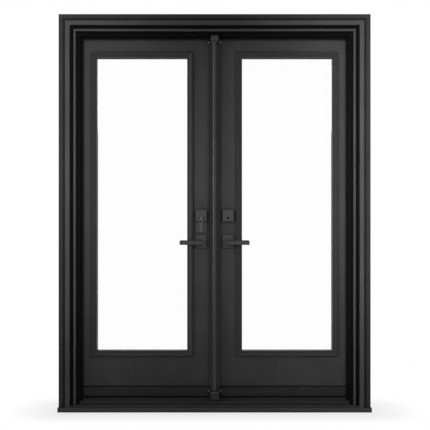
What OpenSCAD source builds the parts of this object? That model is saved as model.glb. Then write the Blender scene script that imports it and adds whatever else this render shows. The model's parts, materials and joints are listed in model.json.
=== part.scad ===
/* [Opening] */
// Clear width between the rabbets of the side jambs
opening_w = 1524; // [1360:1:1800]
// Height of the head rabbet above the floor
opening_h = 2121; // [2060:1:2400]

/* [Casing] */
// Width of the thin outermost band of the casing
rim_w = 25; // [14:1:30]
// Front of that rim ahead of the wall
rim_t = 20; // [14:1:22]
// Width of the narrow groove beside the rim
band_w = 13; // [8:1:24]
// Front of the narrow groove's floor ahead of the wall
band_t = 12; // [8:1:14]
// Width of the raised casing face
face_w = 26; // [20:1:44]
// Front of the raised face ahead of the wall
face_t = 34; // [30:1:44]
// Width of the shadow groove beside the bead
groove_w = 19; // [10:1:24]
// Front of the groove floor ahead of the wall
groove_t = 8; // [5:1:12]
// Radius of the casing's long edges
casing_round = 3; // [1:0.5:4]

/* [Jambs] */
// Width of the round bead on a jamb's outer edge
bead_w = 14; // [12:1:22]
// Front of the bead ahead of the wall
bead_t = 24; // [16:1:30]
// Width of the step between bead and rabbet
step_w = 18; // [10:1:22]
// Set-back of that step behind the wall face
step_y = 10; // [5:1:14]
// Height of the stop above the rabbet
stop_h = 12; // [10:0.5:15]
// Set-back of the stop behind the wall face
stop_y = 40; // [36:1:50]
// Depth of the stop
stop_d = 18; // [14:1:26]
// Bevel on the edges of step and stop
edge_bevel = 2; // [1:0.5:3]
// Room for the weatherstrip between stop and leaf
seal_d = 10; // [8:1:13]
// Width of a weatherstrip bulb
seal_w = 7; // [5:0.5:8]

/* [Sill] */
// Height of the sill nose
nose_h = 25; // [20:1:32]
// Reach of the nose ahead of the casing face
nose_proud = 4; // [2:1:8]
// Reach of the nose past the casing at each end
nose_over = 4; // [2:1:8]
// Height of each shadow groove in the sill
sill_groove_h = 4; // [3:0.5:6]
// Depth of each shadow groove in the sill
sill_groove_d = 8; // [3:0.5:10]
// Thickness of the lip above each shadow groove
lip_t = 4; // [3:0.5:6]
// Rise of a tread from its lip to its back edge
tread_rise = 5; // [3:0.5:7]
// Set-back of the upper tread behind the wall face
upper_tread_y = 12; // [10:1:16]
// Height of the riser between the treads
riser_h = 8; // [6:1:12]
// Height of the cap under the leaves
cap_h = 8; // [5:1:12]
// Gap between the cap and the leaves
floor_gap = 8; // [6:1:12]

/* [Leaves] */
// Thickness of a leaf
leaf_t = 44; // [40:1:50]
// Gap round a leaf at the jamb and the head
leaf_gap = 3; // [2.5:0.5:4]
// Gap between a leaf and the web of the centre post
meeting_gap = 4; // [3:0.5:6]
// Thickness of the steel skins
skin_t = 1; // [0.8:0.1:1.2]
// Depth of the folded edge of a skin
skin_fold = 10; // [6:1:10]
// Height of the drip rail above a leaf's lower edge
drip_lift = 4; // [2:1:8]
// Height of the drip rail
drip_h = 49; // [40:1:60]
// Reach of the drip rail ahead of the leaf
drip_t = 12; // [8:1:14]
// Height of the rolled groove above the drip rail
skin_groove_h = 6; // [4:1:8]
// Depth of that rolled groove
skin_groove_d = 6; // [2:0.5:7]

/* [Glazing] */
// Width of a leaf from its hinge edge to the visible glass
hinge_stile = 89; // [80:1:120]
// Width of a leaf from its meeting edge to the visible glass
lock_stile = 140; // [138:1:170]
// Height of a leaf from the visible glass to its top
top_rail = 116; // [90:1:160]
// Height of a leaf from its lower edge to the visible glass
bottom_rail = 262; // [220:1:340]
// Width of the moulding round the glass
lite_w = 34; // [30:1:46]
// Height of the moulding above the leaf
lite_t = 12; // [9:1:16]
// Thickness of the leg that presses on the glass
lite_leg = 6; // [4:1:8]
// Overlap of the moulding on the pane
glass_bite = 12; // [9:1:14]
// Thickness of one pane
pane_t = 4; // [3:0.5:6]
// Distance between the two panes
pane_gap = 12; // [8:1:16]
// Width of the spacer bar between the panes
spacer_w = 8; // [6:0.5:9]

/* [Centre post] */
// Diameter of the post's round nose
post_d = 32; // [28:1:36]
// Width of the flange that the leaves close on
flange_w = 54; // [50:1:60]
// Thickness of that flange
flange_t = 6; // [5:0.5:8]
// Width of the web between the leaves
web_w = 24; // [22:1:30]
// Wall of the hollow post
post_wall = 2.5; // [2:0.5:3]
// Width of the end brackets
bracket_w = 45; // [42:1:50]
// Height of the head bracket's block
bracket_h = 30; // [24:1:44]
// Height of the sill bracket's block
sill_bracket_h = 42; // [30:1:50]
// Height of the foot under the sill bracket's block
bracket_foot_h = 12; // [8:1:16]
// Height of the half collar on each bracket
collar_h = 10; // [10:1:22]
// Wall of the half collar
collar_wall = 5; // [4:0.5:6]
// Radius of the clamp screws
screw_r = 2.5; // [2:0.5:3]
// Reach of the clamp screws from the middle of the post
screw_reach = 36; // [32:1:40]

/* [Hinges] */
// Radius of a hinge pin
pin_r = 4; // [3:0.5:4.5]
// Radius of a hinge knuckle
knuckle_r = 6.5; // [6:0.5:8]
// Length of a hinge
hinge_h = 100; // [80:5:120]
// Depth of a hinge plate across the edge of the leaf
hinge_w = 28; // [20:1:30]
// Thickness of a hinge plate
hinge_t = 2.5; // [2:0.5:3]
// Middle of the upper hinge below the leaf's top
hinge_top = 200; // [150:5:300]
// Middle of the lower hinge above the leaf's lower edge
hinge_low = 250; // [180:5:350]

/* [Locks] */
// Height of the levers above the floor
lever_z = 949; // [900:1:1000]
// Distance from a leaf's meeting edge to the lever axis
backset = 60.3; // [56:0.1:70]
// Height of the bolt above the lever
bolt_rise = 139.7; // [130:0.1:150]
// Width of a rose
rose_w = 63; // [58:1:66]
// Height of a rose
rose_h = 73; // [64:1:80]
// Thickness of a rose
rose_t = 9; // [6:1:12]
// Height of a rose's middle above the lever axis
rose_rise = 6; // [0:0.5:8]
// Length of a lever bar
lever_l = 138; // [120:1:150]
// Height of a lever bar
lever_h = 23; // [21:1:28]
// Thickness of a lever bar
lever_t = 12; // [8:1:14]
// Reach of a lever from the leaf
lever_reach = 52; // [46:1:60]
// Radius of a lever's shank
shank_r = 10; // [8:0.5:10]
// Side of the square spindle
spindle_w = 8; // [7:0.5:9]
// Radius of the bore for a lever's works
lever_bore_r = 27; // [25:0.5:28]
// Width of the square lock plates
plate_w = 63; // [56:1:68]
// Height of the square lock plates
plate_h = 65; // [60:1:70]
// Thickness of the square lock plates
plate_t = 14; // [10:1:18]
// Height of the left lock's tall backplate
backplate_h = 127; // [122:1:130]
// Thickness of that backplate
backplate_t = 6; // [4:0.5:8]
// Height of a lock plate's lower edge below the bolt
plate_drop = 18; // [13:1:22]
// Radius of a key plug
plug_r = 7; // [6:0.5:8]
// Radius of the bore through the leaf for the plug's tail
plug_bore_r = 11; // [9:0.5:12]
// Throw of a spring latch
latch_throw = 12.7; // [10:0.1:13]
// Throw of a dead bolt
bolt_throw = 14; // [10:0.5:14]
// Depth of a latch or bolt across the leaf
bolt_d = 12; // [10:0.5:13]
// Height of a spring latch
latch_h = 16; // [12:0.5:18]
// Height of a dead bolt
bolt_h = 18; // [14:0.5:18]
// Radius of a latch or bolt case
case_r = 12; // [11.5:0.5:13]
// Height of a faceplate or strike plate
faceplate_h = 57; // [50:1:60]
// Thickness of a faceplate or strike plate
faceplate_t = 1.5; // [1:0.1:1.8]

/* [Keys] */
// Thickness of a key
key_t = 2; // [1.6:0.1:2.2]
// Radius of a key's bow
bow_r = 11; // [9:0.5:12]
// Length of the spare key's blade
blade_l = 33; // [26:1:34]
// Radius of the key ring
ring_r = 10; // [9.5:0.5:12]
// Radius of the key ring's wire
wire_r = 1; // [0.8:0.1:1.2]

/* [Fits] */
// Radial play of pins and shafts
run_gap = 0.05; // [0.03:0.01:0.08]
// Play of sliding bolts in their cases
slide_gap = 0.2; // [0.1:0.05:0.3]
// Play round pieces that are let in
seat_gap = 0.2; // [0.1:0.05:0.3]
// Air between a seal and the leaf that closes on it
seal_gap = 0.3; // [0.2:0.05:0.4]
// Air round a bolt in its strike
strike_gap = 1.5; // [1:0.1:2]
// Diameter of the wall fixing holes in the jambs
fixing_d = 9; // [6:0.5:10]
// Height of the lower wall fixing holes
fixing_z = 400; // [300:5:500]
// Distance from the top of the opening to the upper wall fixing holes
fixing_drop = 321; // [250:1:400]

/* [Hidden] */
$fn = 64;
arc_steps = 6;
over = 1;
charcoal = "#2b2c2e";
soft_black = "#1b1b1c";
bare_steel = "#b9bbbe";

// Frame section, measured inward from the frame's outer edge
casing_w = rim_w + band_w + face_w + groove_w;
rabbet_u = casing_w + bead_w + step_w;
stop_u = rabbet_u + stop_h;
half_w = opening_w / 2;
outer_x = half_w + rabbet_u;
outer_z = opening_h + rabbet_u;
jamb_x = half_w + bead_w + step_w;
stop_back = stop_y + stop_d;

// Leaf planes
leaf_y = stop_back + seal_d;
leaf_back = leaf_y + leaf_t;
mid_y = leaf_y + leaf_t / 2;

// Sill section
nose_y = -face_t - nose_proud;
nose_bevel = nose_proud;
lip_back = 1;
lower_lip_y = nose_y + nose_bevel + lip_back;
lower_tread_z = nose_h + sill_groove_h + lip_t;
upper_groove_z = lower_tread_z + tread_rise;
upper_tread_z = upper_groove_z + riser_h + lip_t;
sill_top = upper_tread_z + tread_rise;
cap_y = leaf_y - edge_bevel;
cap_top = sill_top + cap_h;

// Leaf outline, left leaf on the side of negative X
hinge_edge = half_w - leaf_gap;
meeting_edge = web_w / 2 + meeting_gap;
leaf_low = cap_top + floor_gap;
leaf_high = opening_h - leaf_gap;
drip_z = leaf_low + drip_lift;
drip_nib = 3;
drip_end_air = 2;
drip_end_gap = edge_bevel + drip_end_air;
drip_in = half_w - stop_h - drip_end_gap;
drip_out = max(screw_reach, flange_w / 2 + drip_end_gap);
skin_groove_z = drip_z + drip_h + skin_groove_h;

// Glazing
glass_w = hinge_edge - meeting_edge - hinge_stile - lock_stile;
glass_h = leaf_high - leaf_low - top_rail - bottom_rail;
lite_x = hinge_edge - hinge_stile - glass_w / 2;
lite_z = leaf_low + bottom_rail + glass_h / 2;
lite_flat = lite_t / 4;
lite_dip = lite_t / 4;
lite_ease = lite_t / 12;
unit_w = glass_w + 2 * glass_bite;
unit_h = glass_h + 2 * glass_bite;
unit_t = 2 * pane_t + pane_gap;
cut_gap = 3;
cut_w = unit_w + 2 * cut_gap;
cut_h = unit_h + 2 * cut_gap;

// Hinges
hinge_x = half_w - leaf_gap / 2;
hinge_air = 0.5;
hinge_y = leaf_back + knuckle_r + hinge_air;
knuckles = 5;
knuckle_h = hinge_h / knuckles;
knuckle_air = 0.4;
pin_cap_inset = 1;
pin_cap_r = knuckle_r - pin_cap_inset;
pin_cap_h = 3;
hinge_zs = [leaf_low + hinge_low, (leaf_low + hinge_low + leaf_high - hinge_top) / 2, leaf_high - hinge_top];

// Centre post
nose_ahead = 2;
post_y = stop_back - post_d / 2 - nose_ahead;
seal_inset = edge_bevel / 2;
post_seal_x = flange_w / 2 - seal_w - seal_inset;
bracket_ahead = 10;
bracket_y = post_y - post_d / 2 - bracket_ahead;
bracket_taper = 3;
collar_r = post_d / 2 + seat_gap + collar_wall;
foot_r = post_d / 2 + seat_gap + post_wall;
collar_back = post_y + 2 * screw_r;
screw_brim = 1.5;
screw_head_r = screw_r + screw_brim;
screw_head_h = 4;
lug_end = screw_reach - screw_head_h;
head_screw_z = opening_h - bracket_h - collar_h / 2;
sill_block_low = upper_tread_z + bracket_foot_h;
sill_block_top = sill_block_low + sill_bracket_h;
sill_screw_z = sill_block_top + collar_h / 2;

// Locks
lock_x = meeting_edge + backset;
bolt_z = lever_z + bolt_rise;
works_past = 10;
works_end = lock_x + works_past;
edge_bore_r = case_r + seat_gap;
bore_air = 2;
edge_bore_end = works_end + bore_air;
faceplate_air = 0.5;
faceplate_w = leaf_t - 2 * (skin_fold + faceplate_air);
face_x = meeting_edge + faceplate_t;
hub_air = 1.3;
hub_r = spindle_w * sqrt(2) / 2 + hub_air;
lever_heel_trim = 6.5;
lever_past = lever_h - lever_heel_trim;
lever_bevel = 1;
lever_corner = 1.5;
latch_tail = lock_x - spindle_w - latch_throw - hub_air;
bolt_tail = lock_x - plug_r - bolt_throw;
tail_w = 2;
tail_h = 6;
tail_hole_r = 5;
turn_r = 6;
turn_plate_t = 8;
turn_w = 9;
turn_l = 36;
turn_reach = 24;
turn_corner = 4;
plate_corner = 3;
plate_bevel = 2;
backplate_lip = 1;
plate_z = bolt_z - plate_drop + plate_h / 2;
backplate_z = plate_z + plate_h / 2 - backplate_h / 2 + backplate_lip;
plate_front = leaf_y - backplate_t - plate_t;
turn_end = leaf_back + turn_plate_t + turn_reach;

// Keys
key_gap = 0.15;
blade_h = 8;
plug_proud = 1;
key_neck = 3;
bow_y = plate_front - plug_proud - bow_r - key_neck;
eye_r = 3.2;
eye_wall = 1.8;
eye_drop = bow_r - eye_r - eye_wall;
eye_z = bolt_z - eye_drop;
ring_z = eye_z - eye_r + wire_r + key_gap - ring_r;
spare_eye_z = ring_z - ring_r + wire_r + key_gap - eye_r;
spare_bow_z = spare_eye_z - eye_drop;

// Helpers

// Points of an arc about a centre, from one angle to another
function arc(centre, r, from, to, steps = arc_steps) = [
    for (i = [0:steps])
        let (a = from + (to - from) * i / steps)
        centre + r * [cos(a), sin(a)]
];

// A box between two corners
module block(low, high) {
    translate(low) cube(high - low);
}

// A flat rectangle with rounded corners, about the origin
module soft_rect(w, h, r) {
    square([w - 2 * r, h], center = true);
    square([w, h - 2 * r], center = true);
    for (x = [-1, 1], z = [-1, 1])
        translate([x * (w / 2 - r), z * (h / 2 - r)]) circle(r);
}

// An outline in X and Z drawn through the thickness from y0 to y1
module across(y0, y1) {
    translate([0, y1, 0]) rotate([90, 0, 0]) linear_extrude(y1 - y0) children();
}

// A bar along X with its section in Y and Z, about X = 0
module along_x(length) {
    translate([-length / 2, 0, 0]) rotate([90, 0, 90]) linear_extrude(length) children();
}

// A round bar along Y
module rod_y(x, z, r, y0, y1) {
    translate([x, y1, z]) rotate([90, 0, 0]) cylinder(r = r, h = y1 - y0);
}

// A round bar along X
module rod_x(y, z, r, x0, x1) {
    translate([x0, y, z]) rotate([0, 90, 0]) cylinder(r = r, h = x1 - x0);
}

// A bar along X whose ends slope in by start and end times its width
module mitred_bar(outline, length, reach, start, end) {
    intersection() {
        rotate([90, 0, 90]) linear_extrude(length) polygon(outline);
        translate([0, 0, -outer_z]) linear_extrude(2 * outer_z)
            polygon([[0, 0], [length, 0], [length - end * reach, reach], [start * reach, reach]]);
    }
}

// A bar on the left side of the frame, from height low up to the mitred corner
module frame_side(outline, reach, low) {
    translate([-outer_x, 0, low]) rotate([-90, -90, 0])
        mitred_bar(outline, outer_z - low, reach, 0, 1);
}

// The bar across the head of the frame, mitred at both ends
module frame_head(outline, reach) {
    translate([-outer_x, 0, outer_z]) rotate([-90, 0, 0])
        mitred_bar(outline, 2 * outer_x, reach, 1, 1);
}

// The same piece on both sides of the middle
module both_sides() {
    children();
    mirror([1, 0, 0]) children();
}

// The same piece on the inner face of a leaf
module inner_side() {
    translate([0, 2 * mid_y, 0]) mirror([0, 1, 0]) children();
}

// Frame

function casing_outline() = concat(
    [[0, 0]],
    arc([casing_round, casing_round - rim_t], casing_round, 180, 270),
    [[rim_w, -rim_t], [rim_w, -band_t], [rim_w + band_w, -band_t]],
    arc([rim_w + band_w + casing_round, casing_round - face_t], casing_round, 180, 270),
    arc([casing_w - groove_w - casing_round, casing_round - face_t], casing_round, 270, 360),
    [[casing_w - groove_w, -groove_t], [casing_w, -groove_t], [casing_w, 0]]
);

function jamb_outline() = concat(
    [[casing_w, leaf_back]],
    arc([casing_w + bead_w / 2, bead_w / 2 - bead_t], bead_w / 2, 180, 360, 2 * arc_steps),
    [
        [casing_w + bead_w, step_y],
        [rabbet_u - edge_bevel, step_y],
        [rabbet_u, step_y + edge_bevel],
        [rabbet_u, stop_y],
        [stop_u - edge_bevel, stop_y],
        [stop_u, stop_y + edge_bevel],
        [stop_u, stop_back],
        [rabbet_u, stop_back],
        [rabbet_u, leaf_back]
    ]
);

// Section of a weatherstrip that starts at a place along the stop
function seal_outline(start) = concat(
    [[start, stop_back]],
    [[start + seal_w, stop_back]],
    arc([start + seal_w / 2, leaf_y - seal_gap - seal_w / 2], seal_w / 2, 0, 180)
);

// Section of the sill, with its shadow grooves cut this deep
function sill_outline(groove) = [
    [nose_y, 0],
    [nose_y, nose_h - nose_bevel],
    [nose_y + nose_bevel, nose_h],
    [lower_lip_y + groove, nose_h],
    [lower_lip_y + groove, nose_h + sill_groove_h],
    [lower_lip_y, nose_h + sill_groove_h],
    [lower_lip_y, lower_tread_z],
    [upper_tread_y + groove, upper_groove_z],
    [upper_tread_y + groove, upper_groove_z + riser_h],
    [upper_tread_y, upper_groove_z + riser_h],
    [upper_tread_y, upper_tread_z],
    [cap_y, sill_top],
    [leaf_back, sill_top],
    [leaf_back, 0]
];

// What the sill takes out of the pieces that stand on it
module sill_room() {
    along_x(2 * outer_x) polygon(sill_outline(0));
}

module head_casing() {
    color(charcoal) frame_head(casing_outline(), casing_w);
}

module left_casing() {
    color(charcoal) frame_side(casing_outline(), casing_w, nose_h);
}

module right_casing() {
    mirror([1, 0, 0]) left_casing();
}

module head_jamb() {
    color(charcoal) frame_head(jamb_outline(), stop_u);
}

module left_jamb() {
    color(charcoal) difference() {
        frame_side(jamb_outline(), stop_u, 0);
        sill_room();
        for (z = hinge_zs)
            block(
                [-half_w - hinge_t, leaf_back - hinge_w, z - hinge_h / 2],
                [-half_w + over, leaf_back + over, z + hinge_h / 2]
            );
        for (z = [fixing_z, opening_h - fixing_drop])
            rod_x((step_y + stop_y) / 2, z, fixing_d / 2, -jamb_x - over, -half_w + over);
    }
}

module right_jamb() {
    mirror([1, 0, 0]) left_jamb();
}

module sill() {
    color(charcoal) {
        along_x(2 * jamb_x) polygon(sill_outline(sill_groove_d));
        intersection() {
            along_x(2 * (jamb_x + groove_w)) polygon(sill_outline(sill_groove_d));
            block([-outer_x, nose_y, 0], [outer_x, -groove_t, lower_tread_z + tread_rise]);
        }
        along_x(2 * (outer_x + nose_over)) polygon([
            [nose_y, 0],
            [nose_y, nose_h - nose_bevel],
            [nose_y + nose_bevel, nose_h],
            [0, nose_h],
            [0, 0]
        ]);
    }
}

module sill_cap() {
    color(soft_black) along_x(opening_w) polygon([
        [cap_y, sill_top],
        [cap_y, cap_top - edge_bevel],
        [cap_y + edge_bevel, cap_top],
        [leaf_back - edge_bevel, cap_top],
        [leaf_back, cap_top - edge_bevel],
        [leaf_back, sill_top]
    ]);
}

module frame_seals() {
    seal_u = rabbet_u + leaf_gap + seal_inset;
    color(soft_black) {
        both_sides() translate([0, 0, -seal_gap]) frame_side(seal_outline(seal_u), stop_u, cap_top + seal_gap);
        difference() {
            frame_head(seal_outline(seal_u), stop_u);
            block(
                [-web_w / 2, stop_back - over, opening_h - stop_h - over],
                [web_w / 2, leaf_y, opening_h]
            );
        }
        both_sides() translate([0, 0, cap_top])
            linear_extrude(opening_h - stop_h - cap_top) polygon(seal_outline(post_seal_x));
        both_sides() translate([-(meeting_edge + hinge_edge) / 2, mid_y - seal_w / 2, cap_top])
            along_x(hinge_edge - meeting_edge) square([seal_w, floor_gap - seal_gap]);
    }
}

// Centre post

module post_room(gap) {
    translate([0, post_y, 0]) cylinder(r = post_d / 2 + gap, h = opening_h);
}

module centre_post() {
    color(charcoal) difference() {
        linear_extrude(opening_h) difference() {
            union() {
                translate([0, post_y]) circle(post_d / 2);
                translate([-flange_w / 2, stop_back - flange_t]) square([flange_w, flange_t]);
                translate([-web_w / 2, stop_back - over]) square([web_w, leaf_t + seal_d + over]);
            }
            translate([0, post_y]) circle(post_d / 2 - post_wall);
            translate([post_wall - web_w / 2, stop_back + post_wall])
                square([web_w - 2 * post_wall, leaf_t + seal_d - 2 * post_wall]);
        }
        sill_room();
        block([-web_w, cap_y, 0], [web_w, leaf_back + over, cap_top]);
        block([-flange_w, 0, opening_h - stop_h], [flange_w, stop_back, opening_h + over]);
        for (z = [lever_z, bolt_z], side = [-1, 1])
            translate([side * web_w / 2, mid_y, z])
                cube([2 * faceplate_t, faceplate_w + 2 * seat_gap, faceplate_h + 2 * seat_gap], center = true);
        translate([0, mid_y, lever_z])
            cube([web_w + 2 * over, bolt_d + 2 * strike_gap, latch_h + 2 * strike_gap], center = true);
        translate([0, mid_y, bolt_z])
            cube([web_w + 2 * over, bolt_d + 2 * strike_gap, bolt_h + 2 * strike_gap], center = true);
    }
}

// Half collar with a lug on each side for a clamp screw
module half_collar(low, screw_z) {
    difference() {
        union() {
            intersection() {
                translate([0, post_y, low]) cylinder(r = collar_r, h = collar_h);
                block([-collar_r, 0, low], [collar_r, collar_back, low + collar_h]);
            }
            rod_x(post_y, screw_z, screw_head_r, -lug_end, lug_end);
        }
        rod_x(post_y, screw_z, screw_r + run_gap, -screw_reach, screw_reach);
    }
}

module post_head_bracket() {
    color(charcoal) difference() {
        union() {
            across(bracket_y, stop_y) polygon([
                [-bracket_w / 2, opening_h - bracket_h],
                [bracket_w / 2, opening_h - bracket_h],
                [bracket_w / 2 - bracket_taper, opening_h],
                [-bracket_w / 2 + bracket_taper, opening_h]
            ]);
            half_collar(opening_h - bracket_h - collar_h, head_screw_z);
        }
        post_room(seat_gap);
    }
}

module post_sill_bracket() {
    color(charcoal) difference() {
        union() {
            across(bracket_y, stop_y) polygon([
                [-bracket_w / 2 + bracket_taper, sill_block_low],
                [bracket_w / 2 - bracket_taper, sill_block_low],
                [bracket_w / 2, sill_block_top],
                [-bracket_w / 2, sill_block_top]
            ]);
            intersection() {
                translate([0, post_y, upper_tread_z]) cylinder(r = foot_r, h = bracket_foot_h + over);
                block([-foot_r, 0, upper_tread_z], [foot_r, stop_y, sill_block_low + over]);
            }
            half_collar(sill_block_top, sill_screw_z);
        }
        post_room(seat_gap);
        sill_room();
    }
}

module post_screws() {
    color(bare_steel) for (z = [head_screw_z, sill_screw_z]) both_sides() {
        rod_x(post_y, z, screw_r, post_d / 2 + seat_gap / 2, screw_reach - screw_head_h);
        rod_x(post_y, z, screw_head_r, screw_reach - screw_head_h, screw_reach);
    }
}

module strike_plate(z, h) {
    difference() {
        block(
            [web_w / 2 - faceplate_t, mid_y - faceplate_w / 2, z - faceplate_h / 2],
            [web_w / 2, mid_y + faceplate_w / 2, z + faceplate_h / 2]
        );
        translate([web_w / 2, mid_y, z])
            cube([4 * faceplate_t, bolt_d + 2 * strike_gap, h + 2 * strike_gap], center = true);
    }
}

module strike_plates() {
    color(charcoal) both_sides() {
        strike_plate(lever_z, latch_h);
        strike_plate(bolt_z, bolt_h);
    }
}

// Hinges

// One hinge half: its plate starts at x, and it has every second knuckle from first
module hinge_half(x, first, z) {
    low = z - hinge_h / 2;
    difference() {
        union() {
            block([x, leaf_back - hinge_w, low], [x + hinge_t, leaf_back, low + hinge_h]);
            for (i = [first:2:knuckles - 1]) {
                k0 = low + i * knuckle_h + knuckle_air / 2;
                k1 = low + (i + 1) * knuckle_h - knuckle_air / 2;
                block([x, leaf_back - over, k0], [x + hinge_t, hinge_y, k1]);
                translate([-hinge_x, hinge_y, k0]) cylinder(r = knuckle_r, h = k1 - k0);
            }
        }
        translate([-hinge_x, hinge_y, low - over])
            cylinder(r = pin_r + run_gap, h = hinge_h + 2 * over);
    }
}

module hinge_frame_leaves() {
    color(charcoal) both_sides() for (z = hinge_zs) hinge_half(-half_w - hinge_t, 0, z);
}

module left_hinge_leaves() {
    color(charcoal) for (z = hinge_zs) hinge_half(-hinge_edge, 1, z);
}

module right_hinge_leaves() {
    mirror([1, 0, 0]) left_hinge_leaves();
}

module hinge_pins() {
    color(charcoal) both_sides() for (z = hinge_zs) translate([-hinge_x, hinge_y, z]) {
        cylinder(r = pin_r, h = hinge_h, center = true);
        for (side = [-1, 1]) translate([0, 0, side * (hinge_h + pin_cap_h) / 2])
            cylinder(r = pin_cap_r, h = pin_cap_h, center = true);
    }
}

// Leaves, the left one on the side of negative X

// A leaf's outline between two planes, drawn in at its edges
module leaf_slab(inset, y0, y1) {
    block([inset - hinge_edge, y0, leaf_low + inset], [-meeting_edge - inset, y1, leaf_high - inset]);
}

// The holes through a leaf for the glass, the lever works and the plug
module leaf_holes() {
    block(
        [-lite_x - cut_w / 2, leaf_y - over, lite_z - cut_h / 2],
        [-lite_x + cut_w / 2, leaf_back + over, lite_z + cut_h / 2]
    );
    rod_y(-lock_x, lever_z, lever_bore_r, leaf_y - over, leaf_back + over);
    rod_y(-lock_x, bolt_z, plug_bore_r, leaf_y - over, leaf_back + over);
}

// The places let into a leaf's edges for the hinges and the faceplates
module leaf_mortises() {
    for (z = hinge_zs)
        block(
            [-hinge_edge - over, leaf_back - hinge_w, z - hinge_h / 2],
            [-hinge_edge + hinge_t, leaf_back + over, z + hinge_h / 2]
        );
    for (z = [lever_z, bolt_z]) {
        block(
            [-face_x, mid_y - faceplate_w / 2 - seat_gap, z - faceplate_h / 2 - seat_gap],
            [-meeting_edge + over, mid_y + faceplate_w / 2 + seat_gap, z + faceplate_h / 2 + seat_gap]
        );
        rod_x(mid_y, z, edge_bore_r, -edge_bore_end, -meeting_edge + over);
    }
}

// The rolled groove above the drip rail: its outside, or its hollow
module skin_groove(wall) {
    block(
        [skin_t - hinge_edge, leaf_y - over, skin_groove_z - skin_groove_h / 2 - wall],
        [-meeting_edge - skin_t, leaf_y + skin_groove_d + wall, skin_groove_z + skin_groove_h / 2 + wall]
    );
}

module left_outer_skin() {
    color(charcoal) difference() {
        union() {
            difference() {
                leaf_slab(0, leaf_y, leaf_y + skin_fold);
                leaf_slab(skin_t, leaf_y + skin_t, leaf_y + skin_fold + over);
            }
            intersection() {
                skin_groove(skin_t);
                leaf_slab(skin_t, leaf_y, leaf_y + skin_fold);
            }
        }
        skin_groove(0);
        leaf_holes();
    }
}

module left_inner_skin() {
    color(charcoal) difference() {
        leaf_slab(0, leaf_back - skin_fold, leaf_back);
        leaf_slab(skin_t, leaf_back - skin_fold - over, leaf_back - skin_t);
        leaf_holes();
        leaf_mortises();
    }
}

module left_core() {
    color("#b8a98c") difference() {
        union() {
            leaf_slab(skin_t, leaf_y + skin_t, leaf_back - skin_t);
            leaf_slab(0, leaf_y + skin_fold, leaf_back - skin_fold);
        }
        leaf_holes();
        leaf_mortises();
        skin_groove(skin_t);
    }
}

module right_outer_skin() {
    mirror([1, 0, 0]) left_outer_skin();
}

module right_inner_skin() {
    mirror([1, 0, 0]) left_inner_skin();
}

module right_core() {
    mirror([1, 0, 0]) left_core();
}

// Section of the glazing moulding: a bead, a cove and a lip, with a leg down to the glass
function lite_outline() =
    let (
        round = lite_t / 2,
        top_y = leaf_y - lite_t,
        low_y = top_y + round,
        slope_u = lite_w - lite_leg - round - lite_flat,
        glass_y = mid_y - unit_t / 2 - seat_gap
    )
    concat(
        [[0, leaf_y]],
        arc([round, top_y + round], round, 180, 270),
        [
            [round + lite_flat, top_y],
            [round + lite_flat + lite_dip, top_y + lite_dip],
            [slope_u, low_y],
            [slope_u + round, low_y + lite_dip],
            [lite_w - lite_leg, low_y + lite_dip],
            [lite_w - lite_leg + lite_ease, low_y],
            [lite_w - lite_ease, low_y],
            [lite_w, low_y + lite_ease],
            [lite_w, glass_y],
            [lite_w - lite_leg, glass_y],
            [lite_w - lite_leg, leaf_y]
        ]
    );

module left_outer_lite() {
    w = glass_w + 2 * lite_w;
    h = glass_h + 2 * lite_w;
    color(charcoal) translate([-lite_x, 0, lite_z]) {
        for (turn = [0, 180])
            rotate([0, turn, 0]) translate([-w / 2, 0, h / 2]) rotate([-90, 0, 0])
                mitred_bar(lite_outline(), w, lite_w, 1, 1);
        for (turn = [0, 180])
            rotate([0, turn, 0]) translate([-w / 2, 0, -h / 2]) rotate([-90, -90, 0])
                mitred_bar(lite_outline(), h, lite_w, 1, 1);
    }
}

module left_inner_lite() {
    inner_side() left_outer_lite();
}

module right_outer_lite() {
    mirror([1, 0, 0]) left_outer_lite();
}

module right_inner_lite() {
    mirror([1, 0, 0]) left_inner_lite();
}

module left_glass() {
    color("lightcyan", 0.4) for (side = [-1, 1])
        translate([-lite_x, mid_y + side * (pane_gap + pane_t) / 2, lite_z])
            cube([unit_w, pane_t, unit_h], center = true);
}

module right_glass() {
    mirror([1, 0, 0]) left_glass();
}

module left_spacer() {
    color(soft_black) translate([-lite_x, mid_y, lite_z]) difference() {
        cube([unit_w, pane_gap, unit_h], center = true);
        cube([unit_w - 2 * spacer_w, pane_gap + over, unit_h - 2 * spacer_w], center = true);
    }
}

module right_spacer() {
    mirror([1, 0, 0]) left_spacer();
}

module left_drip_rail() {
    color(charcoal) translate([-(drip_in + drip_out) / 2, 0, drip_z])
        along_x(drip_in - drip_out) polygon([
            [leaf_y, 0],
            [leaf_y - drip_t + drip_nib, 0],
            [leaf_y - drip_t, drip_nib],
            [leaf_y - drip_t, 3 * drip_nib],
            [leaf_y - drip_t + drip_nib, 3 * drip_nib],
            [leaf_y - drip_t + drip_nib, 4 * drip_nib],
            [leaf_y - drip_t, 4 * drip_nib],
            [leaf_y - drip_t, drip_h - 2 * drip_nib],
            [leaf_y - drip_t + drip_nib, drip_h - drip_nib],
            [leaf_y, drip_h]
        ]);
}

module right_drip_rail() {
    mirror([1, 0, 0]) left_drip_rail();
}

// Locks

// A plate with a bevelled front, about the origin in X and Z
module stepped_plate(w, h, y0, y1) {
    across(y0 + plate_bevel, y1) soft_rect(w, h, plate_corner);
    across(y0, y0 + plate_bevel)
        soft_rect(w - 2 * plate_bevel, h - 2 * plate_bevel, plate_corner - plate_bevel / 2);
}

module left_roses() {
    color(charcoal) for (inner = [0, 1]) translate([0, inner * 2 * mid_y, 0]) mirror([0, inner, 0])
        difference() {
            translate([-lock_x, 0, lever_z + rose_rise])
                stepped_plate(rose_w, rose_h, leaf_y - rose_t, leaf_y);
            rod_y(-lock_x, lever_z, shank_r + run_gap, leaf_y - rose_t - over, leaf_y + over);
        }
}

module right_roses() {
    mirror([1, 0, 0]) left_roses();
}

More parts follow.
